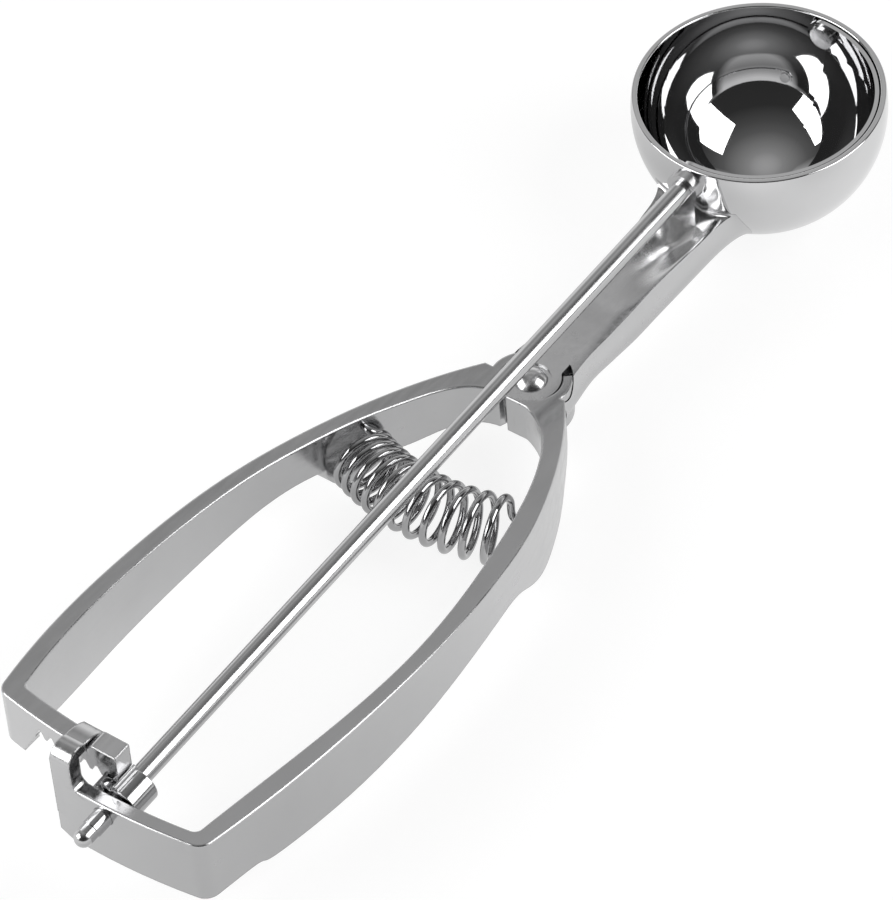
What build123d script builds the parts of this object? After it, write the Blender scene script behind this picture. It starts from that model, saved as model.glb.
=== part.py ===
from build123d import *
import os
from math import acos, asin, cos, degrees, pi, radians, sin, sqrt, tan

# Squeeze-handle ice cream scoop in stainless steel.
# A bowl on a cast stem carries a fixed handle arm and a hinged lever arm. The lever's
# curved rack turns a pinion on a long rod, and the rod sweeps a scraper round the bowl.
# All sizes are in millimetres. Sketch coordinates are measured from the middle of the
# bowl, on the rod's axis: x along the rod with the bowl ahead, y to the lever's side, z up.

# Bowl
bowl_radius = 25.0
bowl_wall = 1.2
rim_height = 3.9
rim_round = 0.3

# Scraper rod and its bearings
rod_radius = 2.0
rod_journal_radius = 1.5
rod_end_length = 7.4
rod_end_step = 0.2
rod_head_radius = 2.5
rod_head_height = 0.9
running_clearance = 0.05

# Scraper blade
blade_clearance = 0.3
blade_thickness = 0.8
blade_width = 7.0
pivot_head_radius = 2.5
pivot_head_height = 1.0

# Stem, from the bowl to the hinge
stem_bottom_at_hinge = -18.6
lug_radius = 3.4
lug_half_width = 2.8
lug_length = 1.9
lug_depth = 14.0
trough_axis_z = -4.5
trough_start = -47.0
trough_end = -22.0
trough_depth = 3.7

# Hinge between the stem and the two arms
hinge_x = -75.5
hinge_y = 2.0
tongue_radius = 5.9
tongue_top = -9.84
tongue_thickness = 2.2
neck_half_width = 4.3
eye_gap = 0.1
knuckle_radius = 8.0
knuckle_clearance = 0.15
knuckle_start = 48.0
horn_reach = 1.0
horn_gap = 0.3
rivet_radius = 2.0
rivet_head_radius = 3.3
rivet_head_height = 1.9
rivet_foot_radius = 3.0
rivet_foot_height = 0.8
spot_face_radius = 4.0
spot_face_depth = 0.4

# Arms: strips on edge whose top edges rise towards the handle's end
fixed_top_slope = 0.0963
lever_top_slope = 0.1417
lobe_radius = 7.2
fixed_step_aside = 8.8
lever_step_aside = 9.6
corner_round = 3.2
inner_corner_round = 1.6
strip_edge_round = 0.35

# Handle end: the fixed arm's end plate lies behind the lever's rack bar
plate_radius = 134.0
plate_thickness = 3.1
plate_bottom = -12.0
plate_left = 11.1
plate_right = -20.8
plate_inner_right = -17.6
plate_corner_width = 2.6
plate_corner_height = 1.2
hood_width = 4.3
hood_length = 10.2
hood_thickness = 1.8
hood_gap = 0.25
hood_crest = 5.0
hood_foot_round = 3.5
bar_radius = 128.6
bar_width = 4.1
bar_end = 0.2
bar_left = 29.2
bar_inner_left = 26.0
bar_bottom = -4.6
heel_y = 23.8
heel_z = -4.2
toe_y = 19.3
lug_stop_height = 1.9
lug_stop_round = 1.6
stop_gap = 0.2

# Rack and pinion. The pinion would hold a full ring of teeth, but only the teeth that the
# rack reaches are cut, and an eccentric lobe fills the rest.
module = 0.85
addendum = 0.9
dedendum = 1.1
pinion_teeth = 10
cut_teeth = 6
pinion_width = 6.0
pinion_gap = 0.4
lobe_offset = 1.4
lobe_round = 3.6
lobe_angle = 168.0
pressure_angle = 25.0
backlash = 0.1
rack_teeth = 7
first_tooth = 1.0

# Spring between the arms, on an axis that bows towards the handle's end
spring_radius = 6.2
spring_wire = 1.55
spring_turns = 10
spring_first_pitch = 2.6
spring_z = -14.2
spring_back = 29.8
spring_bow = 4.2
spring_end_bend = 2.0
spring_left_angle = 109.0
coil_lead = 50.0
seat_touch = 0.05
lever_seat_aside = 19.2
fixed_seat_aside = 18.5
left_reach = 0.1
right_reach = 0.3

# The part's origin is on the table under the middle of the whole tool
widest_right = -26.0
widest_left = 33.1
tool_front = bowl_radius + pivot_head_height
tool_back = hinge_x - plate_radius - rod_end_length
bowl_x = -(tool_front + tool_back) / 2
rod_y = -(widest_right + widest_left) / 2
rod_height = bowl_radius

bowl_centre = Vector(bowl_x, rod_y, rod_height)
rod_axis = Axis(bowl_centre, (1, 0, 0))
hinge_place = (hinge_x, hinge_y)


def plan(z=0.0):
    """A level plane at height z over the rod's axis, seen from above."""
    return Plane(bowl_centre + Vector(0, 0, z), x_dir=(1, 0, 0), z_dir=(0, 0, 1))


def side(y=0.0):
    """An upright plane along the rod, with sketch y upwards."""
    return Plane(bowl_centre + Vector(0, y, 0), x_dir=(1, 0, 0), z_dir=(0, -1, 0))


def across(x=0.0):
    """An upright plane square to the rod, with sketch x to the lever's side."""
    return Plane(bowl_centre + Vector(x, 0, 0), x_dir=(0, 1, 0), z_dir=(1, 0, 0))


def on_arc(radius, y):
    """The point at side distance y on an arc round the hinge, at the handle's end."""
    return (hinge_x - sqrt(radius**2 - (y - hinge_y) ** 2), y)


def from_hinge(back, aside):
    """A point some way back from the hinge and aside of it, left positive."""
    return (hinge_x - back, hinge_y + aside)


def around_hinge(radius, angle):
    """A point on a circle round the hinge, at an angle from the rod's forward way."""
    return (hinge_x + radius * cos(radians(angle)), hinge_y + radius * sin(radians(angle)))


def on_ball(radius, offset):
    """A point on the ball's outline, at a distance off the rod's axis."""
    return (sqrt(radius**2 - offset**2), offset)


os.makedirs("parts", exist_ok=True)
everything = 60.0

# Bowl: a thin ball cut off level above its middle, with two holes on the rod's axis
with BuildPart() as bowl:
    with Locations(bowl_centre):
        Sphere(bowl_radius)
        Sphere(bowl_radius - bowl_wall, mode=Mode.SUBTRACT)
    split(bisect_by=plan(rim_height), keep=Keep.BOTTOM)
    fillet(bowl.edges().filter_by(GeomType.CIRCLE).group_by(Axis.Z)[-1], rim_round)
    with BuildSketch(across(-bowl_radius - 1)):
        Circle(rod_journal_radius + running_clearance)
    extrude(amount=bowl_radius, mode=Mode.SUBTRACT)
    with BuildSketch(across(bowl_radius + 1)):
        Circle(rod_journal_radius)
    extrude(amount=-bowl_radius, mode=Mode.SUBTRACT)

bowl.part.label = "bowl"
export_step(bowl.part, "parts/bowl.step")

# Scraper blade: a band of a thinner ball with rounded ends on the rod's axis.
# At rest it lies along the right side of the bowl, just under the rim.
blade_outer = bowl_radius - bowl_wall - blade_clearance
blade_inner = blade_outer - blade_thickness

with BuildPart() as scraper_blade:
    with Locations(bowl_centre):
        Sphere(blade_outer)
        Sphere(blade_inner, mode=Mode.SUBTRACT)
    with BuildSketch(across(-bowl_radius)):
        Circle(blade_width / 2)
        with Locations((-bowl_radius / 2, 0)):
            Rectangle(bowl_radius, blade_width)
    extrude(amount=2 * bowl_radius, mode=Mode.INTERSECT)
    with BuildSketch(across(-bowl_radius)):
        Circle(rod_journal_radius)
    extrude(amount=bowl_radius, mode=Mode.SUBTRACT)
    with BuildSketch(across(bowl_radius)):
        Circle(rod_journal_radius + running_clearance)
    extrude(amount=-bowl_radius, mode=Mode.SUBTRACT)

scraper_blade.part.label = "scraper_blade"
export_step(scraper_blade.part, "parts/scraper_blade.step")

# Rivet that holds the far end of the blade: domed outside, flat inside
pivot_head_face = on_ball(blade_inner, rod_head_radius)[0] - running_clearance

with BuildPart() as scraper_pivot:
    with BuildSketch(side()):
        with BuildLine():
            Polyline(
                (bowl_radius + pivot_head_height, 0), (pivot_head_face - rod_head_height, 0),
                (pivot_head_face - rod_head_height, rod_head_radius),
                (pivot_head_face, rod_head_radius), (pivot_head_face, rod_journal_radius),
                on_ball(bowl_radius, rod_journal_radius),
            )
            ThreePointArc(
                on_ball(bowl_radius, rod_journal_radius),
                on_ball(bowl_radius, (rod_journal_radius + pivot_head_radius) / 2),
                on_ball(bowl_radius, pivot_head_radius),
            )
            TangentArc(
                (bowl_radius + pivot_head_height, 0), on_ball(bowl_radius, pivot_head_radius),
                tangent=(0, 1),
            )
        make_face()
    revolve(axis=rod_axis)

scraper_pivot.part.label = "scraper_pivot"
export_step(scraper_pivot.part, "parts/scraper_pivot.step")

# Scraper rod: a long pin, turned down where it passes the bowl's wall and the blade,
# and headed over inside. Its back end stands out behind the handle's end plate.
rod_shoulder = -bowl_radius - lug_length
plate_back = hinge_x - plate_radius
rod_head_face = pivot_head_face
rod_tip = plate_back - rod_end_length
tip_radius = rod_radius - rod_end_step

with BuildPart() as scraper_rod:
    with BuildSketch(side()):
        with BuildLine():
            Polyline(
                (-rod_head_face + rod_head_height, 0),
                (-rod_head_face + rod_head_height, rod_head_radius),
                (-rod_head_face, rod_head_radius), (-rod_head_face, rod_journal_radius),
                (rod_shoulder, rod_journal_radius), (rod_shoulder, rod_radius),
                (plate_back - rod_end_length / 2, rod_radius),
                (plate_back - rod_end_length / 2, tip_radius),
                (rod_tip + tip_radius, tip_radius),
            )
            TangentArc((rod_tip + tip_radius, tip_radius), (rod_tip, 0), tangent=(-1, 0))
            Line((rod_tip, 0), (-rod_head_face + rod_head_height, 0))
        make_face()
    revolve(axis=rod_axis)

scraper_rod.part.label = "scraper_rod"
export_step(scraper_rod.part, "parts/scraper_rod.step")


# Stem: a cast bar lofted through D-shaped sections, seated on the bowl's ball in front
# and ending in a round shoulder and two tongues at the hinge
def stem_section(x, middle, top_half, top_z, side_half, side_z, bottom_z):
    """A section with a flat top, sloping flanks and a round underside."""
    with BuildSketch(across(x)) as section:
        with BuildLine():
            Polyline(
                (middle - side_half, side_z), (middle - top_half, top_z),
                (middle + top_half, top_z), (middle + side_half, side_z),
            )
            ThreePointArc(
                (middle + side_half, side_z), (middle, bottom_z), (middle - side_half, side_z)
            )
        make_face()
    return section.sketch


slot_top = tongue_top - tongue_thickness
slot_bottom = stem_bottom_at_hinge + tongue_thickness
shoulder_radius = knuckle_radius + knuckle_clearance

horn_end = hinge_x - horn_reach
stem_sections = [
    stem_section(-20.0, 0.0, 7.8, -7.1, 9.4, -13.2, -18.6),
    stem_section(-26.0, 0.0, 7.2, -7.3, 7.9, -12.8, -17.2),
    stem_section(-38.0, 0.0, 6.2, -7.9, 7.3, -13.0, -17.5),
    stem_section(-52.0, 0.2, 4.3, -8.9, 6.8, -13.6, -18.0),
    stem_section(-65.0, 1.6, neck_half_width, tongue_top, 7.1, -14.2, -18.3),
    stem_section(
        horn_end, hinge_y, neck_half_width, tongue_top, fixed_step_aside, -14.4, stem_bottom_at_hinge
    ),
]
trough_length = trough_end - trough_start

with BuildPart() as stem:
    loft(stem_sections)
    # The end that meets the bowl, and the round shoulder that the arms' knuckles turn in
    with Locations(bowl_centre):
        Sphere(bowl_radius, mode=Mode.SUBTRACT)
    with BuildSketch(plan(stem_bottom_at_hinge - 1)):
        with Locations(hinge_place):
            Circle(shoulder_radius)
    extrude(amount=-stem_bottom_at_hinge, mode=Mode.SUBTRACT)
    # Trough under the rod, widening and deepening towards the bowl like a spoon
    with BuildSketch(side()):
        with BuildLine():
            trough_top = tongue_top + trough_length / 12
            trough_tail = (trough_start, trough_top)
            trough_nose = (trough_end, trough_top - trough_depth)
            Spline(
                trough_tail, (trough_start + trough_length / 2, trough_top - 0.8 * trough_depth),
                trough_nose, tangents=((1, -0.35), (1, 0)),
            )
            Polyline(
                trough_nose, (trough_end, trough_axis_z), (trough_start, trough_axis_z), trough_tail,
            )
        make_face()
    revolve(axis=Axis(bowl_centre + Vector(0, 0, trough_axis_z), (1, 0, 0)), mode=Mode.SUBTRACT)
    # Bearing lug for the rod, standing in the trough against the bowl
    with BuildSketch(across(rod_shoulder)):
        Circle(lug_radius)
        with Locations((0, -lug_depth / 2)):
            Rectangle(2 * lug_half_width, lug_depth)
    extrude(amount=lug_length)
    with Locations(bowl_centre):
        Sphere(bowl_radius, mode=Mode.SUBTRACT)
    # Two tongues round the hinge's rivet
    for level in (slot_top, stem_bottom_at_hinge):
        with BuildSketch(plan(level)):
            with Locations(hinge_place):
                Circle(tongue_radius)
            with Locations((hinge_x + (shoulder_radius + 1) / 2, hinge_y)):
                Rectangle(shoulder_radius + 1, 2 * neck_half_width)
        extrude(amount=tongue_thickness)
    with BuildSketch(plan(tongue_top - spot_face_depth)):
        with Locations(hinge_place):
            Circle(spot_face_radius)
    extrude(amount=rivet_head_height, mode=Mode.SUBTRACT)
    with BuildSketch(plan(stem_bottom_at_hinge)):
        with Locations(hinge_place):
            Circle(rivet_radius)
    extrude(amount=-stem_bottom_at_hinge, mode=Mode.SUBTRACT)
    with BuildSketch(across(rod_shoulder)):
        Circle(rod_journal_radius + running_clearance)
    extrude(amount=lug_length, mode=Mode.SUBTRACT)

stem.part.label = "stem"
export_step(stem.part, "parts/stem.step")

# Rivet of the hinge, domed on top and flat below
with BuildPart() as pivot_rivet:
    with BuildSketch(side(hinge_y)):
        with BuildLine():
            head_base = tongue_top - spot_face_depth
            foot_top = stem_bottom_at_hinge
            Polyline(
                (hinge_x, head_base + rivet_head_height), (hinge_x, foot_top - rivet_foot_height),
                (hinge_x + rivet_foot_radius, foot_top - rivet_foot_height),
                (hinge_x + rivet_foot_radius, foot_top), (hinge_x + rivet_radius, foot_top),
                (hinge_x + rivet_radius, head_base), (hinge_x + rivet_head_radius, head_base),
            )
            TangentArc(
                (hinge_x, head_base + rivet_head_height), (hinge_x + rivet_head_radius, head_base),
                tangent=(1, 0),
            )
        make_face()
    revolve(axis=Axis(bowl_centre + Vector(hinge_x, hinge_y, 0), (0, 0, 1)))

pivot_rivet.part.label = "pivot_rivet"
export_step(pivot_rivet.part, "parts/pivot_rivet.step")


def arm_top(slope, x):
    """Height of an arm's sloping top edge, which starts level with the hinge's tongue."""
    return tongue_top + slope * (hinge_x - x)


def under(back, drop):
    """A point of an arm's underside, some way back from the hinge, lower where drop is positive."""
    return (hinge_x - back, stem_bottom_at_hinge - drop)


def arm_side(slope, under_points, end_x, end_bottom):
    """Outline of an arm seen from the side: straight sloping top, curved underside."""
    front_x = hinge_x + 2 * knuckle_radius
    front = (front_x, stem_bottom_at_hinge)
    under_hinge = (hinge_x - knuckle_radius, stem_bottom_at_hinge)
    with BuildSketch(side()) as outline:
        with BuildLine():
            Line((front_x, arm_top(slope, front_x)), front)
            Line(front, under_hinge)
            Spline(under_hinge, *under_points, (end_x, end_bottom), tangents=((-1, 0), (-1, 0)))
            Line((end_x, end_bottom), (end_x, arm_top(slope, end_x)))
            Line((end_x, arm_top(slope, end_x)), (front_x, arm_top(slope, front_x)))
        make_face()
        with Locations((hinge_x - spring_back, spring_z)):
            Circle(lobe_radius)
        with BuildLine():
            Polyline(
                (front_x, arm_top(slope, front_x)), (end_x, arm_top(slope, end_x)),
                (end_x, 2 * everything), (front_x, 2 * everything), close=True,
            )
        make_face(mode=Mode.SUBTRACT)
    return outline.sketch


def top_edges(arm):
    """All edges round an arm's long sloping top."""
    flats = arm.faces().filter_by(GeomType.PLANE)
    return max(flats, key=lambda flat: flat.area * flat.normal_at().Z).edges()


def upright_edge(arm, corner):
    """The upright edge of an arm that stands at a corner of its plan."""
    return arm.edges().filter_by(Axis.Z).sort_by_distance(bowl_centre + Vector(*corner))[0]


# Levels of the two eyes that lie between the stem's tongues
lever_eye_top = slot_top - eye_gap
eye_thickness = (slot_top - slot_bottom - 2 * eye_gap) / 2
fixed_eye_top = slot_bottom + eye_thickness
seat_radius = tongue_radius + eye_gap
eye_face = tongue_radius + 1.0
step_back = horn_reach + horn_gap
knuckle_side = sqrt(knuckle_radius**2 - step_back**2)

# Fixed arm: a strip that runs back from the hinge on the right, rounds the corner and
# becomes the end plate, whose tab is folded over the rack bar as a hood
plate_inner = plate_radius - plate_thickness
fixed_corner_outer = on_arc(plate_radius, plate_right)
fixed_corner_inner = on_arc(plate_inner, plate_inner_right)
bar_top = arm_top(lever_top_slope, hinge_x - bar_radius)
hood_bottom = bar_top + hood_gap
hood_right = plate_left - hood_width
hood_back = on_arc(plate_radius, (plate_left + hood_right) / 2)[0]
fixed_under = [
    under(16, 2.9), under(23, 4.4), under(29, 4.3), under(35.5, 1.4), under(41, -1.9),
    under(48, -2.8), under(58, -2.6), under(75, -1.6), under(92, -1.7), under(108, -3.2),
    under(117, -4.6),
]
fixed_side = arm_side(fixed_top_slope, fixed_under, plate_back - plate_thickness, plate_bottom)

with BuildPart() as fixed_arm:
    with BuildSketch(plan(-bowl_radius)):
        with BuildLine():
            knuckle_front = around_hinge(knuckle_radius, -knuckle_start)
            knuckle_step = from_hinge(step_back, -knuckle_side)
            outer_start = from_hinge(step_back, -fixed_step_aside)
            inner_end = from_hinge(eye_face, -eye_face / 2)
            RadiusArc(knuckle_front, knuckle_step, knuckle_radius)
            Line(knuckle_step, outer_start)
            Spline(
                outer_start, from_hinge(9.9, -14.5), from_hinge(23.4, -20.7),
                from_hinge(35.6, -24.4), from_hinge(47.1, -26.3), from_hinge(65, -27.7),
                from_hinge(83.8, -27.7), from_hinge(109.5, -26.0), fixed_corner_outer,
            )
            RadiusArc(fixed_corner_outer, on_arc(plate_radius, plate_left), plate_radius)
            Line(on_arc(plate_radius, plate_left), on_arc(plate_inner, plate_left))
            RadiusArc(on_arc(plate_inner, plate_left), fixed_corner_inner, -plate_inner)
            Spline(
                fixed_corner_inner, from_hinge(114, -21.4), from_hinge(93.5, -23.7),
                from_hinge(70.5, -24.6), from_hinge(52, -22.9), from_hinge(39.5, -20.7),
                from_hinge(spring_back, -fixed_seat_aside), from_hinge(19.3, -15.0),
                from_hinge(12.5, -11.2), inner_end,
            )
            Polyline(inner_end, from_hinge(eye_face, 1), hinge_place, knuckle_front)
        make_face()
        with Locations(hinge_place):
            Circle(seat_radius, mode=Mode.SUBTRACT)
    extrude(amount=everything)
    extrude(fixed_side, amount=everything, both=True, mode=Mode.INTERSECT)
    # Rounded corner and edges, and a small cut on the plate's lower left corner
    fillet(upright_edge(fixed_arm, fixed_corner_outer), corner_round)
    fillet(upright_edge(fixed_arm, fixed_corner_inner), inner_corner_round)
    fillet(top_edges(fixed_arm), strip_edge_round)
    with BuildSketch(across(plate_back - 1)):
        with BuildLine():
            cut_end = plate_bottom - plate_corner_height
            Polyline(
                (plate_left, plate_bottom + plate_corner_height), (plate_left, cut_end),
                (plate_left - 2 * plate_corner_width, cut_end), close=True,
            )
        make_face()
    extrude(amount=2 * plate_thickness, mode=Mode.SUBTRACT)
    # Eye on the lower tongue
    with BuildSketch(plan(slot_bottom)):
        with Locations(hinge_place):
            Circle(tongue_radius)
            Circle(rivet_radius, mode=Mode.SUBTRACT)
        with BuildLine():
            Polyline(
                hinge_place, around_hinge(seat_radius + 1, -45), around_hinge(seat_radius + 1, -90),
                around_hinge(seat_radius + 1, -135), around_hinge(seat_radius + 1, -175), close=True,
            )
        make_face()
        with Locations(hinge_place):
            Circle(rivet_radius, mode=Mode.SUBTRACT)
    extrude(amount=eye_thickness)
    # Hood: a tab of the plate folded inwards over the rack bar
    hood_top = hood_bottom + hood_thickness
    hood_shoulder = (hood_back + hood_thickness * 0.3, hood_top - hood_thickness * 0.4)
    with BuildSketch(side(hood_right)):
        with BuildLine():
            Polyline(
                (hood_back + plate_thickness, plate_bottom / 2), (hood_back, plate_bottom / 2),
                (hood_back, hood_bottom),
            )
            ThreePointArc(
                (hood_back, hood_bottom), hood_shoulder, (hood_back + hood_crest, hood_top)
            )
            TangentArc(
                (hood_back + hood_crest, hood_top), (hood_back + hood_length, hood_bottom),
                tangent=(1, 0),
            )
            Polyline(
                (hood_back + hood_length, hood_bottom), (hood_back + plate_thickness, hood_bottom),
                (hood_back + plate_thickness, plate_bottom / 2),
            )
        make_face()
    extrude(amount=-hood_width)
    # Hollow curve between the hood's post and the plate's top edge
    plate_top = arm_top(fixed_top_slope, plate_back)
    with BuildSketch(across(plate_back)):
        with BuildLine():
            foot_start = (hood_right - hood_foot_round, plate_top - 1)
            Polyline(
                foot_start, (hood_right, plate_top - 1), (hood_right, plate_top + hood_foot_round)
            )
            RadiusArc((hood_right, plate_top + hood_foot_round), foot_start, hood_foot_round)
        make_face()
    extrude(amount=plate_thickness)
    # Hole for the rod
    with BuildSketch(across(plate_back - 1)):
        Circle(rod_radius + running_clearance)
    extrude(amount=2 * plate_thickness, mode=Mode.SUBTRACT)

fixed_arm.part.label = "fixed_arm"
export_step(fixed_arm.part, "parts/fixed_arm.step")

# Lever arm: a strip that runs back from the hinge on the left and turns the corner into
# a rack bar over the pinion. Its raised end rests against the hood when the scoop is open.
bar_inner = bar_radius - bar_width
bar_middle = bar_radius - bar_width / 2
pitch_radius = module * pinion_teeth / 2
pitch = pi * module
rack_tip_z = pitch_radius - addendum * module
rack_root_z = pitch_radius + dedendum * module
lever_corner_outer = on_arc(bar_radius, bar_left)
lever_corner_inner = on_arc(bar_inner, bar_inner_left)
lever_under = [
    under(20, 0.3), under(30, -2.5), under(43, -5.6), under(60, -5.8), under(80, -5.9),
    under(95, -6.6), under(108, -8.0), under(118, -11.0),
]
lever_side = arm_side(lever_top_slope, lever_under, hinge_x - bar_radius - bar_width, bar_bottom)


def rack_gap_half(z):
    """Half the width of the space between two rack teeth at height z."""
    return pitch / 4 + backlash / 2 - (z - pitch_radius) * tan(radians(pressure_angle))


with BuildPart() as lever_arm:
    with BuildSketch(plan(-bowl_radius)):
        with BuildLine():
            lever_front = around_hinge(knuckle_radius, knuckle_start)
            lever_step = from_hinge(step_back, knuckle_side)
            lever_outer_start = from_hinge(step_back, lever_step_aside)
            lever_inner_end = from_hinge(eye_face, eye_face * 0.4)
            RadiusArc(lever_front, lever_step, -knuckle_radius)
            Line(lever_step, lever_outer_start)
            Spline(
                lever_outer_start, from_hinge(4.7, 11.7), from_hinge(16, 17.5),
                from_hinge(35.3, 24.5), from_hinge(56.8, 29.3), from_hinge(81.9, 31.1),
                from_hinge(104.5, 30.4), lever_corner_outer,
            )
            RadiusArc(lever_corner_outer, on_arc(bar_radius, bar_end), -bar_radius)
            Line(on_arc(bar_radius, bar_end), on_arc(bar_inner, bar_end))
            RadiusArc(on_arc(bar_inner, bar_end), lever_corner_inner, bar_inner)
            Spline(
                lever_corner_inner, from_hinge(105.7, 26.6), from_hinge(83.4, 27.5),
                from_hinge(66.5, 26.8), from_hinge(51.1, 24.9), from_hinge(40, 22.3),
                from_hinge(spring_back, lever_seat_aside), from_hinge(18.6, 14.4),
                from_hinge(7.9, 6.3), lever_inner_end,
            )
            Polyline(lever_inner_end, hinge_place, lever_front)
        make_face()
        with Locations(hinge_place):
            Circle(seat_radius, mode=Mode.SUBTRACT)
    extrude(amount=everything)
    extrude(lever_side, amount=everything, both=True, mode=Mode.INTERSECT)

    # The bar is lifted clear of the pinion beyond a slanted heel
    with BuildSketch(across(lever_corner_outer[0] - bar_width)):
        with BuildLine():
            Polyline(
                (heel_y, stem_bottom_at_hinge), (heel_y, heel_z), (toe_y, rack_tip_z),
                (-bar_radius, rack_tip_z), (-bar_radius, stem_bottom_at_hinge), close=True,
            )
        make_face()
    extrude(amount=2.5 * bar_width, mode=Mode.SUBTRACT)
    fillet(upright_edge(lever_arm, lever_corner_outer), corner_round)
    fillet(upright_edge(lever_arm, lever_corner_inner), inner_corner_round)
    fillet(top_edges(lever_arm), strip_edge_round)
    # Raised block at the bar's end, which stops against the hood
    with BuildSketch(plan(bar_top - 1)):
        with BuildLine():
            block_left = hood_right - stop_gap
            RadiusArc(on_arc(bar_radius, block_left), on_arc(bar_radius, bar_end), -bar_radius)
            Line(on_arc(bar_radius, bar_end), on_arc(bar_inner, bar_end))
            RadiusArc(on_arc(bar_inner, bar_end), on_arc(bar_inner, block_left), bar_inner)
            Line(on_arc(bar_inner, block_left), on_arc(bar_radius, block_left))
        make_face()
    extrude(amount=1 + lug_stop_height)
    fillet(lever_arm.edges().group_by(Axis.Z)[-1].sort_by(Axis.Y)[-1], lug_stop_round)
    # Gaps between the rack's teeth, each cut straight through the bar towards the hinge
    for tooth in range(rack_teeth + 1):
        turn = (first_tooth - hinge_y + (tooth - 0.5) * pitch) / bar_middle
        outwards = Vector(-cos(turn), sin(turn), 0)
        gap_plane = Plane(
            bowl_centre + Vector(hinge_x, hinge_y, 0) + outwards * (bar_inner - 1),
            x_dir=(-sin(turn), -cos(turn), 0), z_dir=outwards,
        )
        with BuildSketch(gap_plane):
            with BuildLine():
                Polyline(
                    (-rack_gap_half(rack_tip_z - 1), rack_tip_z - 1),
                    (-rack_gap_half(rack_root_z), rack_root_z),
                    (rack_gap_half(rack_root_z), rack_root_z),
                    (rack_gap_half(rack_tip_z - 1), rack_tip_z - 1), close=True,
                )
            make_face()
        extrude(amount=bar_width + 2, mode=Mode.SUBTRACT)
    # Eye between the tongues, above the fixed arm's eye
    with BuildSketch(plan(lever_eye_top)):
        with Locations(hinge_place):
            Circle(tongue_radius)
        with BuildLine():
            Polyline(
                hinge_place, around_hinge(seat_radius + 1, 50), around_hinge(seat_radius + 1, 90),
                around_hinge(seat_radius + 1, 130), around_hinge(seat_radius + 1, 155), close=True,
            )
        make_face()
        with Locations(hinge_place):
            Circle(rivet_radius + running_clearance, mode=Mode.SUBTRACT)
    extrude(amount=-eye_thickness)

lever_arm.part.label = "lever_arm"
export_step(lever_arm.part, "parts/lever_arm.step")


# Pinion: involute teeth on the rod, in mesh with the rack at rest
def involute(angle):
    """Involute function of a pressure angle in radians."""
    return tan(angle) - angle


def flank_point(radius, half_angle):
    """A point of a tooth's flank at a radius, where the tooth points along sketch x."""
    angle = half_angle + involute(radians(pressure_angle)) - involute(acos(base_radius / radius))
    return (radius * cos(angle), radius * sin(angle))


base_radius = pitch_radius * cos(radians(pressure_angle))
root_radius = pitch_radius - dedendum * module
pinion_radius = pitch_radius + addendum * module
tooth_half_angle = pi / 2 / pinion_teeth - backlash / 2 / pitch_radius
pinion_back = on_arc(plate_inner, 0)[0] + pinion_gap
pinion_phase = 90 - degrees((first_tooth - pitch / 2) / pitch_radius)
tooth_step = 360 / pinion_teeth
last_cut_angle = pinion_phase - (cut_teeth - 1) * tooth_step
lobe_way = radians(lobe_angle)

with BuildSketch() as tooth:
    with BuildLine() as flank:
        flank_root = flank_point(base_radius, tooth_half_angle)
        flank_middle = flank_point((base_radius + pinion_radius) / 2, tooth_half_angle)
        flank_tip = flank_point(pinion_radius, tooth_half_angle)
        Line((0, flank_root[1]), flank_root)
        ThreePointArc(flank_root, flank_middle, flank_tip)
        Line(flank_tip, (flank_tip[0], 0))
        mirror(about=Plane.XZ)
        Line((0, flank_root[1]), (0, -flank_root[1]))
    make_face()

with BuildPart() as pinion:
    with BuildSketch(across(pinion_back)):
        Circle(root_radius)
        with Locations((lobe_offset * cos(lobe_way), lobe_offset * sin(lobe_way))):
            Circle(lobe_round)
        with PolarLocations(0, cut_teeth, last_cut_angle, cut_teeth * tooth_step):
            add(tooth.sketch)
        Circle(rod_radius, mode=Mode.SUBTRACT)
    extrude(amount=pinion_width)

pinion.part.label = "pinion"
export_step(pinion.part, "parts/pinion.step")


# Spring: one coiled wire between the lobes of the two arms. Its axis is an arc that meets
# both arms square on, and its turns are closer on the lever's side.
spring_chord_x = hinge_x - spring_back
spring_left = hinge_y + lever_seat_aside - seat_touch
spring_right = hinge_y - fixed_seat_aside + seat_touch
spring_chord = spring_left - spring_right
spring_axis_radius = spring_chord**2 / 8 / spring_bow + spring_bow / 2
spring_half_turn = asin(spring_chord / 2 / spring_axis_radius)
spring_arc_x = spring_chord_x + spring_axis_radius * cos(spring_half_turn)
spring_arc_y = (spring_left + spring_right) / 2
end_run = spring_wire / spring_axis_radius
end_bend = spring_end_bend / spring_axis_radius
coil_start = spring_half_turn - end_run - end_bend
coil_length = 2 * coil_start * spring_axis_radius
last_pitch = 2 * coil_length / spring_turns - spring_first_pitch


def spring_axis(turn):
    """A point of the spring's bowed axis, its way outwards and its way to the left."""
    outwards = Vector(-cos(turn), sin(turn), 0)
    leftwards = Vector(sin(turn), cos(turn), 0)
    middle = bowl_centre + Vector(spring_arc_x, spring_arc_y, spring_z)
    return middle + outwards * spring_axis_radius, outwards, leftwards


def wire_point(turns):
    """A point of the coil and its direction, after a number of turns from the left end."""
    done = spring_first_pitch * turns + (last_pitch - spring_first_pitch) * turns**2 / 2 / spring_turns
    pitch_here = spring_first_pitch + (last_pitch - spring_first_pitch) * turns / spring_turns
    place, outwards, leftwards = spring_axis(coil_start - done / spring_axis_radius)
    angle = 2 * pi * turns + radians(spring_left_angle + coil_lead)
    spoke = outwards * cos(angle) + Vector(0, 0, sin(angle))
    along = Vector(0, 0, cos(angle)) - outwards * sin(angle)
    direction = along * 2 * pi * spring_radius - leftwards * pitch_here
    return place + spoke * spring_radius, direction.normalized()


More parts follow.
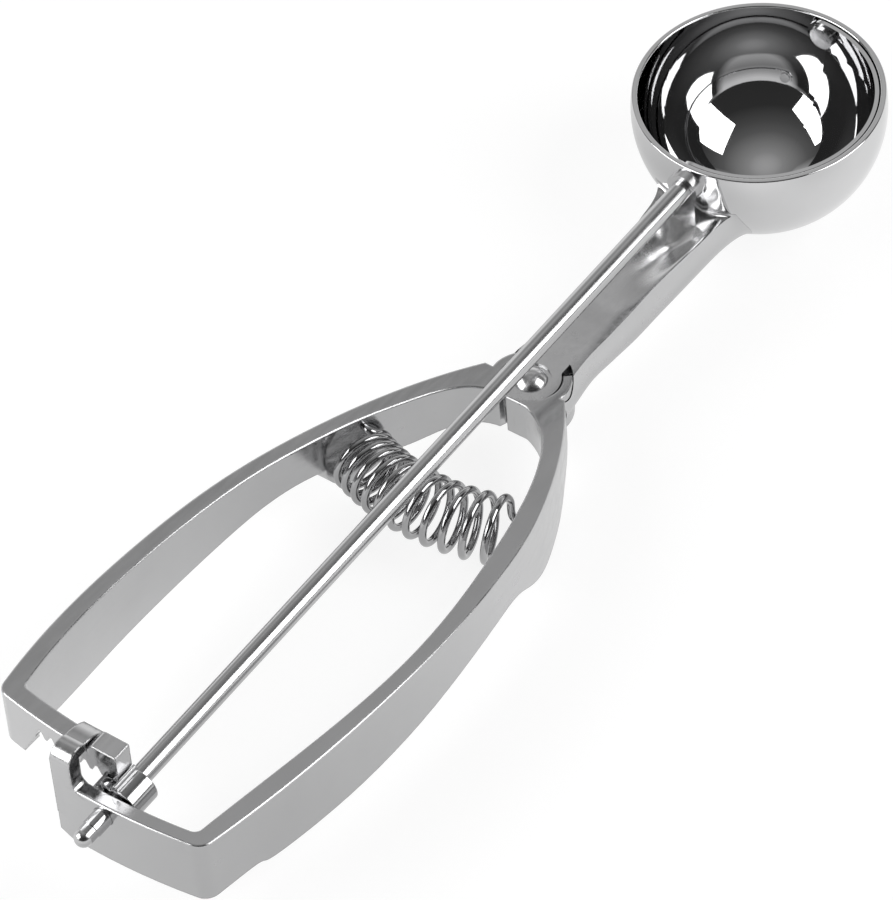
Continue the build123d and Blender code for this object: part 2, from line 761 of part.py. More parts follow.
def end_point(turn, angle):
    """A point of the straight run into an arm, at an angle round the axis, and its direction."""
    place, outwards, leftwards = spring_axis(turn)
    spoke = outwards * cos(radians(angle)) + Vector(0, 0, sin(radians(angle)))
    return place + spoke * spring_radius, leftwards * -1


def biarc(start, start_way, end, end_way):
    """Two arcs that join two points smoothly and keep their directions."""
    across_gap = end - start
    ways = start_way + end_way
    reach = across_gap.dot(ways)
    spread = 2 * (1 - start_way.dot(end_way))
    length = (sqrt(reach**2 + spread * across_gap.dot(across_gap)) - reach) / spread
    first_corner = start + start_way * length
    last_corner = end - end_way * length
    joint = (first_corner + last_corner) * 0.5
    first = Edge.make_tangent_arc(start, start_way, joint)
    last = Edge.make_tangent_arc(joint, (last_corner - first_corner).normalized(), end)
    return [first, last]


spring_right_angle = spring_left_angle + 2 * coil_lead
left_end = spring_half_turn + left_reach / spring_axis_radius
right_end = spring_half_turn + right_reach / spring_axis_radius
left_bend, left_way = end_point(spring_half_turn - end_run, spring_left_angle)
left_seat = left_bend - left_way * (left_end - spring_half_turn + end_run) * spring_axis_radius
right_bend, right_way = end_point(end_run - spring_half_turn, spring_right_angle)
right_seat = right_bend + right_way * (right_end - spring_half_turn + end_run) * spring_axis_radius
steps = 2 * spring_turns
coil_points = [wire_point(step / 2) for step in range(steps + 1)]
wire_edges = [Edge.make_line(left_seat, left_bend)]
wire_edges += biarc(left_bend, left_way, *coil_points[0])
for start, end in zip(coil_points[:-1], coil_points[1:]):
    wire_edges += biarc(*start, *end)
wire_edges += biarc(*coil_points[-1], right_bend, right_way)
wire_edges.append(Edge.make_line(right_bend, right_seat))
spring_path = Wire(wire_edges)

with BuildPart() as spring:
    with BuildSketch(Plane(left_seat, z_dir=left_way)):
        Circle(spring_wire / 2)
    sweep(path=spring_path)

spring.part.label = "spring"
export_step(spring.part, "parts/spring.step")

samples = 60 * spring_turns
wire_samples = [spring_path.position_at(step / samples) for step in range(samples + 1)]
apart = int(3.5 * spring_radius / spring_path.length * samples)
least = min(
    (wire_samples[i] - wire_samples[j]).length
    for i in range(samples + 1) for j in range(i + apart, samples + 1)
)
print("spring: least gap between turns", round(least - spring_wire, 2), "mm")
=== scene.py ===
from math import asin, cos, pi, radians, sin, sqrt

import bmesh
import bpy
from mathutils import Matrix, Vector
from mathutils.geometry import interpolate_bezier


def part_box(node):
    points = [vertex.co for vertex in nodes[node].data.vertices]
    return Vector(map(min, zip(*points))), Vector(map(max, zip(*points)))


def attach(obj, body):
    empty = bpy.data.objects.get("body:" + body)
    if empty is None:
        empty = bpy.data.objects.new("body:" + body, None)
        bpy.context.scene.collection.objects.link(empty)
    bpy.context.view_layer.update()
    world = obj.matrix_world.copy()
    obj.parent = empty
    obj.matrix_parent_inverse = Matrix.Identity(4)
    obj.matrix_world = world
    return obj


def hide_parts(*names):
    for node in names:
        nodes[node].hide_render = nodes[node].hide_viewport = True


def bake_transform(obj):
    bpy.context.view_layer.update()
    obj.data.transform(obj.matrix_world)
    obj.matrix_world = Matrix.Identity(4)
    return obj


# Polished stainless steel ice cream scoop on a white table.
# Places are in metres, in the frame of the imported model. The sizes of the pieces made here
# are in millimetres, and MM turns them into metres.
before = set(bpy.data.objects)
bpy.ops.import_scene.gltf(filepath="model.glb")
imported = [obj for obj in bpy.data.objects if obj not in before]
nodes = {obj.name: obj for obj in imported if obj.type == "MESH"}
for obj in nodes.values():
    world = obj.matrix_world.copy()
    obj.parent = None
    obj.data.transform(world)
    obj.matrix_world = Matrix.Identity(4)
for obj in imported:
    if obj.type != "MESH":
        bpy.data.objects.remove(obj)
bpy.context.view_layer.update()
MM = 0.001

# Middle of the bowl, on the scraper rod's axis
bowl_low, bowl_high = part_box("bowl")
BOWL_RADIUS = (bowl_high.y - bowl_low.y) / 2
BOWL_CENTRE = Vector((bowl_high.x - BOWL_RADIUS, (bowl_high.y + bowl_low.y) / 2, BOWL_RADIUS))

# Hinge, and the spring's sizes and its places round the hinge in millimetres and degrees
HINGE = BOWL_CENTRE + Vector((-75.5, 2.0, 0)) * MM
SPRING_RADIUS = 6.2
SPRING_WIRE = 1.55
SPRING_TURNS = 11
SPRING_FIRST_PITCH = 2.15
SPRING_Z = -14.2
SPRING_BACK = 29.8
SPRING_BOW = 4.2
SPRING_LEFT_RUN = 0.2
SPRING_LEFT_BEND = 1.3
SPRING_RIGHT_RUN = 1.55
SPRING_RIGHT_BEND = 2.0
SPRING_LEFT_ANGLE = 109.0
SPRING_LEAD = 50.0
LEVER_SEAT = 19.15
FIXED_SEAT = 18.45
LEFT_REACH = 0.1
RIGHT_REACH = 0.3

# Camera at the photograph's viewing angle, found from the rod, the rim and the handle
CAMERA_PLACE = Vector((-0.62220, -0.50610, 0.89786))
CAMERA_RIGHT = Vector((0.57842969, -0.81352094, -0.06002302))
CAMERA_UP = Vector((0.62710244, 0.39641, 0.67052341))
CAMERA_LENS = 256.5
CAMERA_SHIFT = (-0.01148, -0.01634)

# Stem between the bowl and the hinge, in millimetres round the bowl's middle: x, middle, half
# width and height of the flat top, half width and height of the widest place, height of the
# bottom, depth of the trough
STEM = [
    (-22.0, 0.0, 7.5, -7.2, 8.4, -13.0, -17.8, 0.0), (-26.0, 0.0, 7.2, -7.3, 7.9, -12.8, -17.2, 0.5),
    (-31.0, 0.0, 6.8, -7.5, 7.6, -12.9, -17.3, 3.4), (-38.0, 0.0, 6.1, -7.9, 7.3, -13.0, -17.5, 2.2),
    (-45.0, 0.1, 5.5, -8.4, 6.8, -13.7, -17.7, 0.8), (-52.0, 0.2, 5.3, -8.9, 6.5, -14.2, -18.0, 0.1),
    (-59.0, 0.8, 5.4, -9.5, 6.5, -14.4, -18.1, 0.0), (-65.0, 1.6, 5.8, -9.84, 6.9, -14.5, -18.3, 0.0),
    (-71.0, 1.9, 6.5, -9.84, 7.8, -14.6, -18.5, 0.0), (-76.5, 2.0, 7.4, -9.84, 8.75, -14.6, -18.6, 0.0),
]
STEM_LIP = 0.35
TROUGH_SHARPNESS = 1.3
STEM_WIDEST_AT = 0.3
STEM_UNDERSIDE = 0.8

# The stem's flare on the bowl, its end at the hinge, and the rod's lug
STEM_FLARE = 1.3
STEM_FLARE_START = -30.0
SUNK_IN_BOWL = 0.02
LUG_SUNK_IN_BOWL = 0.3
NECK_OVERLAP = 0.3
SHOULDER_RADIUS = 8.15
TONGUE_RADIUS = 5.9
TONGUE_THICKNESS = 2.2
NECK_HALF = 4.3
SPOT_FACE_RADIUS = 4.0
SPOT_FACE_DEPTH = 0.4
RIVET_RADIUS = 2.0
LUG_RADIUS = 3.4
LUG_HALF = 2.8
LUG_END = -26.8
LUG_BOTTOM = -12.5
ROD_HOLE = 1.55

# Fineness of the made pieces, the angle above which an edge is shown sharp, the distance
# within which corners are welded, the smallest sine or cosine to divide by, and the height in
# metres of the drum that is cut out at the hinge
STEM_STEPS = 72
STEM_TOP_STEPS = 20
STEM_SIDE_STEPS = 20
FLARE_STEPS = 14
FLARE_INWARD = (0.6, 0.3, 0.1)
TURN_STEPS = 96
COIL_STEPS = 48
BEND_STEPS = 12
BEND_TIGHTNESS = 0.42
WIRE_SIDES = 16
SHARP_DEGREES = 28.0
WELD_DISTANCE = 0.002 * MM
SMALLEST = 0.01
DRUM_HEIGHT = 0.06

# Steel: scales per metre of the polishing lines, of the clouds in tone and gloss and of the
# dents, how far tone and gloss vary, the part of a noise's range that is used, and the tints
BRUSH_SCALE = 900.0
CLOUD_SCALE = 60.0
DENT_SCALE = 45.0
DARKER_TONE = 0.96
GLOSS_SPREAD = 0.2
NOISE_RANGE = (0.3, 0.7)
TONE_RANGE = (0.35, 0.65)
BEVEL_SAMPLES = 6
NEUTRAL = (0.64, 0.64, 0.645)
BRIGHT = (0.68, 0.68, 0.685)
DULL = (0.58, 0.58, 0.585)
DARK = (0.50, 0.50, 0.505)
# Painted shade: the spring's tint is darker than the other steels to stand in for the dark reflections
# on its coils
DARKEST_PAINTED_SHADE = (0.44, 0.44, 0.445)

# Studio: a dim wash of light that is brightest nearly overhead, two large white softboxes, a
# pale backdrop beyond the bowl and a white table
SKY_PEAK = Vector((0.17, 0.195, 0.966))
BACKDROP_WAY = Vector((0.777, 0.629, 0.0))
SOFTBOX_LEVEL = 4.0
FLOOR_GLOW = 0.82
# The table as seen in reflections: painted shade that makes it dimmer near the scoop, and painted
# patches of light and shade
FLOOR_PAINTED_SHADE_NEAR = 0.60
FLOOR_PAINTED_SHADE_MIDDLE = 0.70
FLOOR_PAINTED_PATCH_SCALE = 11.0
FLOOR_PAINTED_PATCH_SPREAD = 0.22
FLOOR_COLOUR = 0.25
FLOOR_RADIUS = 4.0
FLOOR_SIDES = 96
WHITE = (1, 1, 1, 1)


class Graph:
    """Short names for making and joining shader nodes."""

    def __init__(self, tree):
        self.tree = tree
        tree.nodes.clear()

    def node(self, kind, values=None, **settings):
        made = self.tree.nodes.new(kind)
        for key, value in settings.items():
            setattr(made, key, value)
        for socket, value in (values or {}).items():
            self.put(made.inputs[socket], value)
        return made

    def put(self, socket, value):
        if isinstance(value, bpy.types.NodeSocket):
            self.tree.links.new(value, socket)
        else:
            socket.default_value = value

    def maths(self, operation, first, second):
        return self.node("ShaderNodeMath", {0: first, 1: second}, operation=operation).outputs[0]

    def noise(self, scale, detail, where=None, stretch=(1, 1, 1)):
        if where is None:
            where = self.node("ShaderNodeTexCoord").outputs["Object"]
        moved = self.node("ShaderNodeMapping", {"Vector": where, "Scale": stretch})
        return self.node("ShaderNodeTexNoise", {
            "Vector": moved.outputs[0], "Scale": scale, "Detail": detail,
        }).outputs["Fac"]

    def spread(self, value, low, high, from_low, from_high):
        return self.node("ShaderNodeMapRange", {
            "Value": value, "From Min": from_low, "From Max": from_high, "To Min": low, "To Max": high,
        }).outputs[0]

    def ramp(self, value, stops):
        made = self.node("ShaderNodeValToRGB", {"Fac": value})
        band = made.color_ramp
        while len(band.elements) < len(stops):
            band.elements.new(0.5)
        for element, (place, level) in zip(band.elements, stops):
            element.position = place
            element.color = (level, level, level, 1)
        return made.outputs[0]


def steel(name, tint, roughness, rough_spread, scratch, brush=(1, 1, 1), dent=0.0, edge=0.0):
    """Stainless steel with fine polishing lines, a faintly uneven surface and broken edges.

    scratch and dent are the depths of the lines and the dents, and edge is the radius of the
    broken edges, all in millimetres.
    """
    material = bpy.data.materials.new(name)
    material.use_nodes = True
    g = Graph(material.node_tree)
    lines = g.noise(BRUSH_SCALE, detail=2.0, stretch=brush)
    cloud = g.noise(CLOUD_SCALE, detail=4.0)
    rough = g.maths(
        "ADD", g.spread(lines, -rough_spread, rough_spread, *NOISE_RANGE),
        g.spread(cloud, roughness * (1 - GLOSS_SPREAD), roughness * (1 + GLOSS_SPREAD), *NOISE_RANGE),
    )
    colour = g.node("ShaderNodeMix", {
        "Factor": g.spread(cloud, 0.0, 1.0, *TONE_RANGE),
        "A": (*[c * DARKER_TONE for c in tint], 1), "B": (*tint, 1),
    }, data_type="RGBA")
    dents = g.maths("MULTIPLY", g.noise(DENT_SCALE, detail=1.0), dent)
    height = g.maths("ADD", g.maths("MULTIPLY", lines, scratch), dents)
    bump = g.node("ShaderNodeBump", {"Height": height, "Strength": 1.0, "Distance": MM})
    if edge:
        broken = g.node("ShaderNodeBevel", {"Radius": edge * MM}, samples=BEVEL_SAMPLES)
        g.put(bump.inputs["Normal"], broken.outputs[0])
    shader = g.node("ShaderNodeBsdfPrincipled", {
        "Base Color": colour.outputs["Result"], "Metallic": 1.0, "Roughness": rough,
        "Normal": bump.outputs[0],
    })
    g.node("ShaderNodeOutputMaterial", {"Surface": shader.outputs[0]})
    return material


def dress(node, material):
    """Gives a carried-over node its material and smooth shading."""
    piece = nodes[node]
    piece.data.materials.clear()
    piece.data.materials.append(material)
    for face in piece.data.polygons:
        face.use_smooth = True
    piece.data.set_sharp_from_angle(angle=radians(SHARP_DEGREES))


def spring_line():
    """Middle line of the spring's wire: a straight run, the coil on its bowed axis, a straight run."""
    chord = LEVER_SEAT + FIXED_SEAT
    bend = chord**2 / 8 / SPRING_BOW + SPRING_BOW / 2
    half = asin(chord / 2 / bend)
    middle = Vector((bend * cos(half) - SPRING_BACK, (LEVER_SEAT - FIXED_SEAT) / 2, SPRING_Z))
    coil_left = half - (SPRING_LEFT_RUN + SPRING_LEFT_BEND) / bend
    coil_right = half - (SPRING_RIGHT_RUN + SPRING_RIGHT_BEND) / bend
    last_pitch = 2 * (coil_left + coil_right) * bend / SPRING_TURNS - SPRING_FIRST_PITCH

    def point(turn, degrees_round):
        a = radians(degrees_round)
        outwards = Vector((-cos(turn), sin(turn), 0))
        up = Vector((0, 0, SPRING_RADIUS * sin(a)))
        return middle + outwards * (bend + SPRING_RADIUS * cos(a)) + up

    coil = []
    steps = SPRING_TURNS * COIL_STEPS
    for step in range(steps + 1):
        turns = step / COIL_STEPS
        growth = (last_pitch - SPRING_FIRST_PITCH) * turns**2 / 2 / SPRING_TURNS
        done = SPRING_FIRST_PITCH * turns + growth
        coil.append(point(coil_left - done / bend, SPRING_LEFT_ANGLE + SPRING_LEAD + 360 * turns))
    left_angle, right_angle = SPRING_LEFT_ANGLE, SPRING_LEFT_ANGLE + 2 * SPRING_LEAD
    left = [
        point(half + LEFT_REACH / bend, left_angle),
        point(half - SPRING_LEFT_RUN / bend, left_angle),
    ]
    right = [
        point(SPRING_RIGHT_RUN / bend - half, right_angle),
        point(-half - RIGHT_REACH / bend, right_angle),
    ]
    line = [left[0]] + curve_between(left[0], left[1], coil[0], coil[1])
    line += coil[1:-1] + curve_between(coil[-2], coil[-1], right[0], right[1]) + [right[1]]
    return [HINGE + place * MM for place in line]


def curve_between(before, start, end, after):
    """Points from start to end that leave and arrive in line with the points before and after."""
    reach = (end - start).length * BEND_TIGHTNESS
    first = start + (start - before).normalized() * reach
    last = end - (after - end).normalized() * reach
    return list(interpolate_bezier(start, first, last, end, BEND_STEPS))


def between(rows, x):
    """The row of values at x, on smooth curves through a list of rows that start with x."""
    spot = 0
    while spot < len(rows) - 2 and x < rows[spot + 1][0]:
        spot += 1
    a, b = rows[spot], rows[spot + 1]
    before, after = rows[max(spot - 1, 0)], rows[min(spot + 2, len(rows) - 1)]
    t = (x - a[0]) / (b[0] - a[0])
    step = b[0] - a[0]
    found = []
    for v0, v1, v2, v3 in zip(before, a, b, after):
        slope_a = (v2 - v0) / (b[0] - before[0]) * step
        slope_b = (v3 - v1) / (after[0] - a[0]) * step
        found.append(
            v1 * (2 * t**3 - 3 * t**2 + 1) + v2 * (3 * t**2 - 2 * t**3)
            + slope_a * (t**3 - 2 * t**2 + t) + slope_b * (t**3 - t**2)
        )
    return found


def bezier_weights(t):
    """Weights of a cubic curve's four points at t."""
    return (1 - t) ** 3, 3 * t * (1 - t) ** 2, 3 * t**2 * (1 - t), t**3


def stem_ring(x):
    """One section of the stem as a closed ring, from the top's middle round by the left."""
    _, middle, top_half, top_z, side_half, side_z, bottom_z, depth = between(STEM, x)
    lip = top_half - STEM_LIP
    low = STEM_UNDERSIDE * side_half
    a, b, c, d = bezier_weights(STEM_WIDEST_AT)
    bulge_y = (side_half - a * top_half - c * low) / b
    bulge_z = (side_z - a * top_z - (c + d) * bottom_z) / b
    half = []
    for k in range(STEM_TOP_STEPS):
        y = top_half * k / STEM_TOP_STEPS
        half.append((y, top_z - depth * max(0.0, 1 - (y / lip) ** 2) ** TROUGH_SHARPNESS))
    for k in range(STEM_SIDE_STEPS + 1):
        a, b, c, d = bezier_weights(k / STEM_SIDE_STEPS)
        y = a * top_half + b * bulge_y + c * low
        half.append((y, a * top_z + b * bulge_z + (c + d) * bottom_z))
    ring = [Vector((x, middle + y, z)) for y, z in half]
    return ring + [Vector((x, middle - y, z)) for y, z in half[-2:0:-1]]


def onto_ball(point, radius):
    """The point moved along the rod's way onto the back of the bowl's ball."""
    return Vector((-sqrt(radius**2 - point.y**2 - point.z**2), point.y, point.z))


def join_rings(rings, ends_joined=False):
    """Vertices and quads of a tube through equal rings, open at its ends or joined in a loop."""
    size = len(rings[0])
    places = [place for ring in rings for place in ring]
    faces = []
    pairs = list(zip(range(len(rings) - 1), range(1, len(rings))))
    if ends_joined:
        pairs.append((len(rings) - 1, 0))
    for i, j in pairs:
        for k in range(size):
            n = (k + 1) % size
            faces.append((i * size + k, i * size + n, j * size + n, j * size + k))
    return places, faces


def stem_shapes():
    """The stem's body with its flare on the bowl, the two tongues at the hinge and the rod's lug."""
    radius = BOWL_RADIUS / MM
    foot_x, core_z = STEM[1][0], STEM[1][5]
    start = stem_ring(STEM_FLARE_START)
    touch = [onto_ball(place, radius) for place in stem_ring(foot_x)]
    rings = []
    for step in range(FLARE_STEPS + 1):
        t = step / FLARE_STEPS
        ring = []
        for a, b in zip(start, touch):
            wide = Vector((0, b.y * STEM_FLARE, core_z + (b.z - core_z) * STEM_FLARE))
            c = onto_ball(wide, radius - SUNK_IN_BOWL)
            ring.append(a * (1 - t) ** 2 + b * 2 * t * (1 - t) + c * t**2)
        rings.insert(0, ring)
    core, foot = Vector((0, 0, core_z)), rings[0]
    for inward in FLARE_INWARD:
        places = [core + (place - core) * inward for place in foot]
        rings.insert(0, [onto_ball(place, radius - SUNK_IN_BOWL) for place in places])
    hinge_x, hinge_y = (HINGE.x - BOWL_CENTRE.x) / MM, (HINGE.y - BOWL_CENTRE.y) / MM
    end_x = STEM[-1][0]
    for step in range(1, STEM_STEPS + 1):
        rings.append(stem_ring(STEM_FLARE_START + (end_x - STEM_FLARE_START) * step / STEM_STEPS))
    body = join_rings(rings)
    last, size = (len(rings) - 1) * len(start), len(start)
    body[1].extend([tuple(range(size)), tuple(range(last, last + size))])
    shapes = [body]

    top_z, bottom_z = STEM[-1][3], STEM[-1][6]
    for high, recess in ((top_z, SPOT_FACE_DEPTH), (bottom_z + TONGUE_THICKNESS, 0.0)):
        rim = []
        for k in range(TURN_STEPS):
            a = 2 * pi * k / TURN_STEPS
            reach = TONGUE_RADIUS
            if cos(a) > 0:
                neck = NECK_HALF / max(abs(sin(a)), SMALLEST)
                reach = max(reach, min(SHOULDER_RADIUS + NECK_OVERLAP, neck))
            rim.append((cos(a), sin(a), reach))
        rows = [
            (RIVET_RADIUS, high - recess), (SPOT_FACE_RADIUS, high - recess), (SPOT_FACE_RADIUS, high),
            (None, high), (None, high - TONGUE_THICKNESS), (RIVET_RADIUS, high - TONGUE_THICKNESS),
        ]
        if not recess:
            rows = rows[:1] + rows[3:]
        shapes.append(join_rings([
            [Vector((hinge_x + c * (r or reach), hinge_y + w * (r or reach), z)) for c, w, reach in rim]
            for r, z in rows
        ], ends_joined=True))

    rim = []
    for k in range(TURN_STEPS):
        a = 2 * pi * k / TURN_STEPS
        reach = LUG_RADIUS
        if sin(a) < 0:
            reach = LUG_HALF / max(abs(cos(a)), SMALLEST)
            if abs(cos(a)) > LUG_HALF / LUG_RADIUS:
                reach = max(reach, LUG_RADIUS)
            reach = min(reach, LUG_BOTTOM / sin(a))
        rim.append((cos(a) * reach, sin(a) * reach, cos(a) * ROD_HOLE, sin(a) * ROD_HOLE))
    back, sunk = Vector((LUG_END, 0, 0)), radius - LUG_SUNK_IN_BOWL
    shapes.append(join_rings([
        [back + Vector((0, hole_y, hole_z)) for _, _, hole_y, hole_z in rim],
        [back + Vector((0, y, z)) for y, z, _, _ in rim],
        [onto_ball(Vector((0, y, z)), sunk) for y, z, _, _ in rim],
        [onto_ball(Vector((0, hole_y, hole_z)), sunk) for _, _, hole_y, hole_z in rim],
    ], ends_joined=True))
    return shapes


def closed_mesh(name, shapes):
    """A mesh from closed shapes in millimetres round the bowl's middle."""
    places, faces = [], []
    for some_places, some_faces in shapes:
        shift = len(places)
        places += [BOWL_CENTRE + place * MM for place in some_places]
        faces += [tuple(shift + corner for corner in face) for face in some_faces]
    mesh = bpy.data.meshes.new(name)
    mesh.from_pydata(places, [], faces)
    b = bmesh.new()
    b.from_mesh(mesh)
    bmesh.ops.remove_doubles(b, verts=b.verts, dist=WELD_DISTANCE)
    bmesh.ops.dissolve_degenerate(b, edges=b.edges, dist=WELD_DISTANCE)
    bmesh.ops.recalc_face_normals(b, faces=b.faces)
    b.to_mesh(mesh)
    b.free()
    return mesh


def cut_round_hinge(mesh, radius):
    """The mesh with an upright cylinder round the hinge taken out of it."""
    b = bmesh.new()
    bmesh.ops.create_cone(
        b, cap_ends=True, segments=TURN_STEPS, radius1=radius * MM, radius2=radius * MM,
        depth=DRUM_HEIGHT, matrix=Matrix.Translation(HINGE),
    )
    drum_mesh = bpy.data.meshes.new("drum")
    b.to_mesh(drum_mesh)
    b.free()
    drum = bpy.data.objects.new("drum", drum_mesh)
    solid = bpy.data.objects.new("solid", mesh)
    for thing in (drum, solid):
        bpy.context.scene.collection.objects.link(thing)
    cut = solid.modifiers.new("cut", "BOOLEAN")
    cut.object = drum
    cut.operation = "DIFFERENCE"
    cut.solver = "EXACT"
    found = bpy.data.meshes.new_from_object(solid.evaluated_get(bpy.context.evaluated_depsgraph_get()))
    for thing in (drum, solid):
        bpy.data.objects.remove(thing)
    return found


def cast_piece(name, shapes, material):
    """One object of the first shape with the hinge's room cut out of it and the other shapes."""
    b = bmesh.new()
    b.from_mesh(cut_round_hinge(closed_mesh(name, shapes[:1]), SHOULDER_RADIUS))
    b.from_mesh(closed_mesh(name, shapes[1:]))
    mesh = bpy.data.meshes.new(name)
    b.to_mesh(mesh)
    b.free()
    mesh.polygons.foreach_set("use_smooth", [True] * len(mesh.polygons))
    mesh.set_sharp_from_angle(angle=radians(SHARP_DEGREES))
    mesh.materials.append(material)
    made = bpy.data.objects.new(name, mesh)
    bpy.context.scene.collection.objects.link(made)
    return made


def wire(name, line, width, material):
    """A round wire along a line of points, with flat ends."""
    nearby = zip(line[:1] + line[:-1], line[1:] + line[-1:])
    ways = [(after - before).normalized() for before, after in nearby]
    side = ways[0].orthogonal().normalized()
    places, faces = [], []
    for i, (middle, way) in enumerate(zip(line, ways)):
        side = (side - way * side.dot(way)).normalized()
        up = way.cross(side)
        for k in range(WIRE_SIDES):
            a = 2 * pi * k / WIRE_SIDES
            places.append(middle + (side * cos(a) + up * sin(a)) * width / 2)
        if i:
            old, new = (i - 1) * WIRE_SIDES, i * WIRE_SIDES
            for k in range(WIRE_SIDES):
                n = (k + 1) % WIRE_SIDES
                faces.append((old + k, old + n, new + n, new + k))
    last = (len(line) - 1) * WIRE_SIDES
    faces += [tuple(reversed(range(WIRE_SIDES))), tuple(range(last, last + WIRE_SIDES))]
    mesh = bpy.data.meshes.new(name)
    mesh.from_pydata(places, [], faces)
    mesh.polygons.foreach_set("use_smooth", [True] * len(faces))
    mesh.set_sharp_from_angle(angle=radians(SHARP_DEGREES))
    mesh.materials.append(material)
    made = bpy.data.objects.new(name, mesh)
    bpy.context.scene.collection.objects.link(made)
    return made


# Tint, roughness and its spread, depth of the polishing lines, then the lines' stretch, the
# depth of the dents and the radius of the broken edges
mirror_steel = steel("mirror_steel", BRIGHT, 0.035, 0.008, 0.001)
cast_steel = steel("cast_steel", DARK, 0.13, 0.03, 0.004, dent=0.03, edge=0.35)
forged_steel = steel("forged_steel", NEUTRAL, 0.23, 0.04, 0.004, dent=0.02)
strip_steel = steel("strip_steel", DULL, 0.19, 0.06, 0.005, brush=(0.06, 1, 1), dent=0.02, edge=0.5)
rod_steel = steel("rod_steel", DULL, 0.19, 0.04, 0.001, brush=(0.05, 1, 1))
# The spring's darkest tint is painted shade
spring_steel = steel("spring_steel", DARKEST_PAINTED_SHADE, 0.06, 0.02, 0.003)

for node_name, finish in {
    "bowl": mirror_steel, "scraper_blade": mirror_steel, "scraper_pivot": rod_steel,
    "scraper_rod": rod_steel, "stem": forged_steel, "pivot_rivet": forged_steel, "pinion": cast_steel,
    "fixed_arm": strip_steel, "lever_arm": strip_steel, "spring": spring_steel,
}.items():
    dress(node_name, finish)

forged_stem = cast_piece("forged_stem", stem_shapes(), forged_steel)
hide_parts("stem")
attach(forged_stem, "handle")

coil_spring = wire("coil_spring", spring_line(), SPRING_WIRE * MM, spring_steel)
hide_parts("spring")
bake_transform(coil_spring)


# Camera
camera_data = bpy.data.cameras.new("camera")
camera = bpy.data.objects.new("camera", camera_data)
bpy.context.scene.collection.objects.link(camera)
camera_back = CAMERA_RIGHT.cross(CAMERA_UP)
camera.matrix_world = Matrix((
    (CAMERA_RIGHT.x, CAMERA_UP.x, camera_back.x, CAMERA_PLACE.x),
    (CAMERA_RIGHT.y, CAMERA_UP.y, camera_back.y, CAMERA_PLACE.y),
    (CAMERA_RIGHT.z, CAMERA_UP.z, camera_back.z, CAMERA_PLACE.z),
    (0, 0, 0, 1),
))
camera_data.sensor_fit = "HORIZONTAL"
camera_data.sensor_width = 36.0
camera_data.lens = CAMERA_LENS
camera_data.shift_x, camera_data.shift_y = CAMERA_SHIFT
camera_data.clip_start = 0.05
camera_data.clip_end = 20.0
bpy.context.scene.camera = camera


def softbox(name, azimuth, elevation, distance, width, height, radiance):
    """A white rectangular light that faces the bowl from a compass angle and a height."""
    a, e = radians(azimuth), radians(elevation)
    outwards = Vector((cos(a) * cos(e), sin(a) * cos(e), sin(e)))
    data = bpy.data.lights.new(name, "AREA")
    data.shape = "RECTANGLE"
    data.size, data.size_y = width, height
    data.energy = radiance * pi * width * height
    lamp = bpy.data.objects.new(name, data)
    bpy.context.scene.collection.objects.link(lamp)
    facing = outwards.to_track_quat("Z", "Y").to_matrix().to_4x4()
    lamp.matrix_world = Matrix.Translation(BOWL_CENTRE + outwards * distance) @ facing
    return lamp


softbox("softbox_right", -71, 38, 1.0, 0.64, 0.77, SOFTBOX_LEVEL)
softbox("softbox_left", 142, 28.5, 1.0, 0.82, 0.59, SOFTBOX_LEVEL)


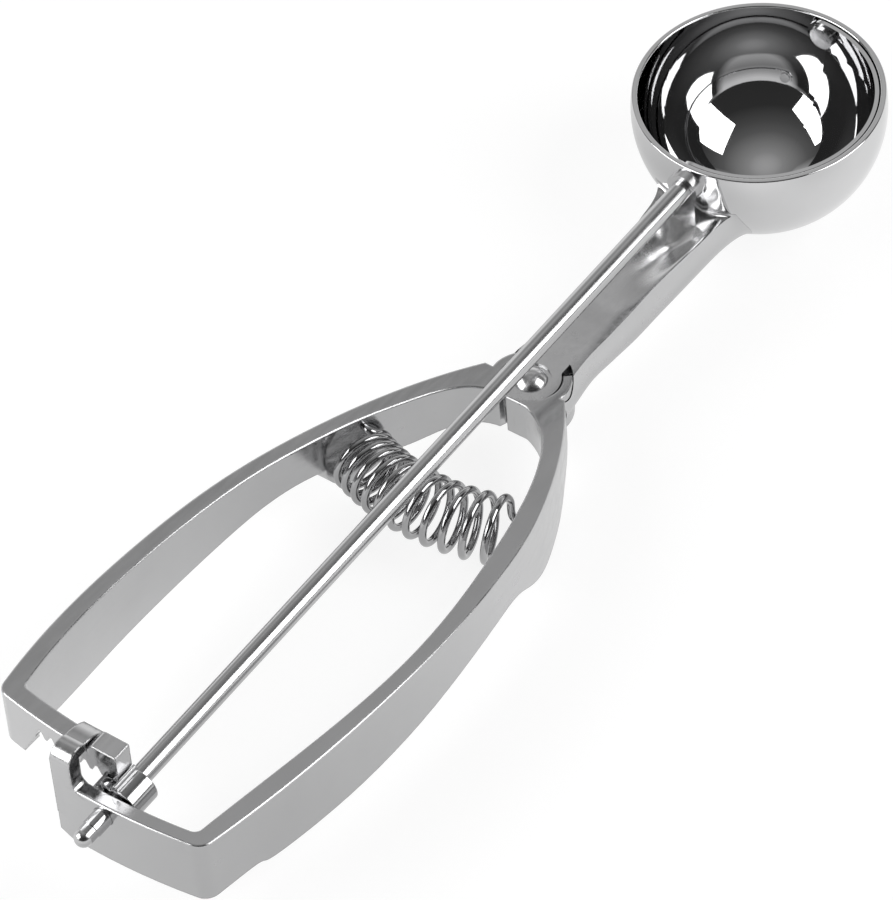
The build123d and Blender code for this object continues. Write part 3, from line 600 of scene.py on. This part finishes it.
def light_the_world():
    """A dim studio above, a pale backdrop beyond the bowl, and white all round the horizon."""
    world = bpy.data.worlds.new("studio")
    bpy.context.scene.world = world
    world.use_nodes = True
    g = Graph(world.node_tree)
    way = g.node("ShaderNodeTexCoord").outputs["Generated"]
    towards = g.node("ShaderNodeVectorMath", {0: way, 1: SKY_PEAK}, operation="DOT_PRODUCT")
    wash = g.ramp(towards.outputs["Value"], [
        (0.0, 0.03), (0.5, 0.035), (0.71, 0.08), (0.82, 0.12), (0.88, 0.18), (0.94, 0.25),
        (0.97, 0.30), (1.0, 0.43),
    ])
    up = g.node("ShaderNodeSeparateXYZ", {0: way}).outputs[2]
    ahead = g.node("ShaderNodeVectorMath", {0: way, 1: BACKDROP_WAY}, operation="DOT_PRODUCT")
    sideways = g.ramp(ahead.outputs["Value"], [(0.30, 0.0), (0.55, 1.0)])
    upwards = g.ramp(up, [
        (0.17, 1.0), (0.35, 0.62), (0.54, 0.34), (0.63, 0.42), (0.74, 0.56), (0.80, 0.60), (0.87, 0.0),
    ])
    wash = g.maths("MAXIMUM", wash, g.maths("MULTIPLY", sideways, upwards))
    horizon = g.ramp(g.spread(up, 0.0, 1.0, -1.0, 1.0), [(0.0, 1.0), (0.53, 1.0), (0.60, 0.0)])
    level = g.node("ShaderNodeMix", {"Factor": horizon, "A": wash, "B": WHITE}, data_type="RGBA")
    ray = g.node("ShaderNodeLightPath").outputs["Is Camera Ray"]
    seen = g.node("ShaderNodeMix", {
        "Factor": ray, "A": level.outputs["Result"], "B": WHITE,
    }, data_type="RGBA")
    shader = g.node("ShaderNodeBackground", {"Color": seen.outputs["Result"], "Strength": 1.0})
    g.node("ShaderNodeOutputWorld", {"Surface": shader.outputs[0]})


def lay_floor():
    """A round white table top that looks white to the camera. In reflections it is dimmer, with painted
    shade that darkens it towards the scoop and painted patches of light and shade.
    """
    turns = [2 * pi * i / FLOOR_SIDES for i in range(FLOOR_SIDES)]
    rim = [(FLOOR_RADIUS * cos(a), FLOOR_RADIUS * sin(a), 0) for a in turns]
    mesh = bpy.data.meshes.new("floor")
    mesh.from_pydata(rim, [], [list(range(FLOOR_SIDES))])
    floor = bpy.data.objects.new("floor", mesh)
    bpy.context.scene.collection.objects.link(floor)
    material = bpy.data.materials.new("floor_white")
    material.use_nodes = True
    g = Graph(material.node_tree)
    ray = g.node("ShaderNodeLightPath")
    where = g.node("ShaderNodeTexCoord").outputs["Object"]
    away = g.node("ShaderNodeVectorMath", {0: where}, operation="LENGTH").outputs["Value"]
    # Painted shade: in reflections the table is darker near the scoop
    level = g.ramp(away, [(0.02, FLOOR_PAINTED_SHADE_NEAR), (0.30, FLOOR_PAINTED_SHADE_MIDDLE), (1.0, FLOOR_GLOW)])
    # Painted patches of light and shade on the table, seen only in reflections
    painted_patches = g.noise(FLOOR_PAINTED_PATCH_SCALE, detail=0.0, where=where)
    painted_patches = g.spread(painted_patches, 1 - FLOOR_PAINTED_PATCH_SPREAD, 1 + FLOOR_PAINTED_PATCH_SPREAD, *NOISE_RANGE)
    painted_floor_in_reflections = g.maths("MULTIPLY", level, painted_patches)
    seen = g.maths("MULTIPLY", ray.outputs["Is Camera Ray"], FLOOR_GLOW)
    seen = g.maths("ADD", seen, g.maths("MULTIPLY", ray.outputs["Is Glossy Ray"], painted_floor_in_reflections))
    glow = g.node("ShaderNodeEmission", {"Color": WHITE, "Strength": seen})
    matt = g.node("ShaderNodeBsdfDiffuse", {"Color": (FLOOR_COLOUR, FLOOR_COLOUR, FLOOR_COLOUR, 1)})
    both = g.node("ShaderNodeAddShader", {0: glow.outputs[0], 1: matt.outputs[0]})
    g.node("ShaderNodeOutputMaterial", {"Surface": both.outputs[0]})
    mesh.materials.append(material)


light_the_world()
lay_floor()
bpy.context.scene.view_settings.view_transform = "Standard"
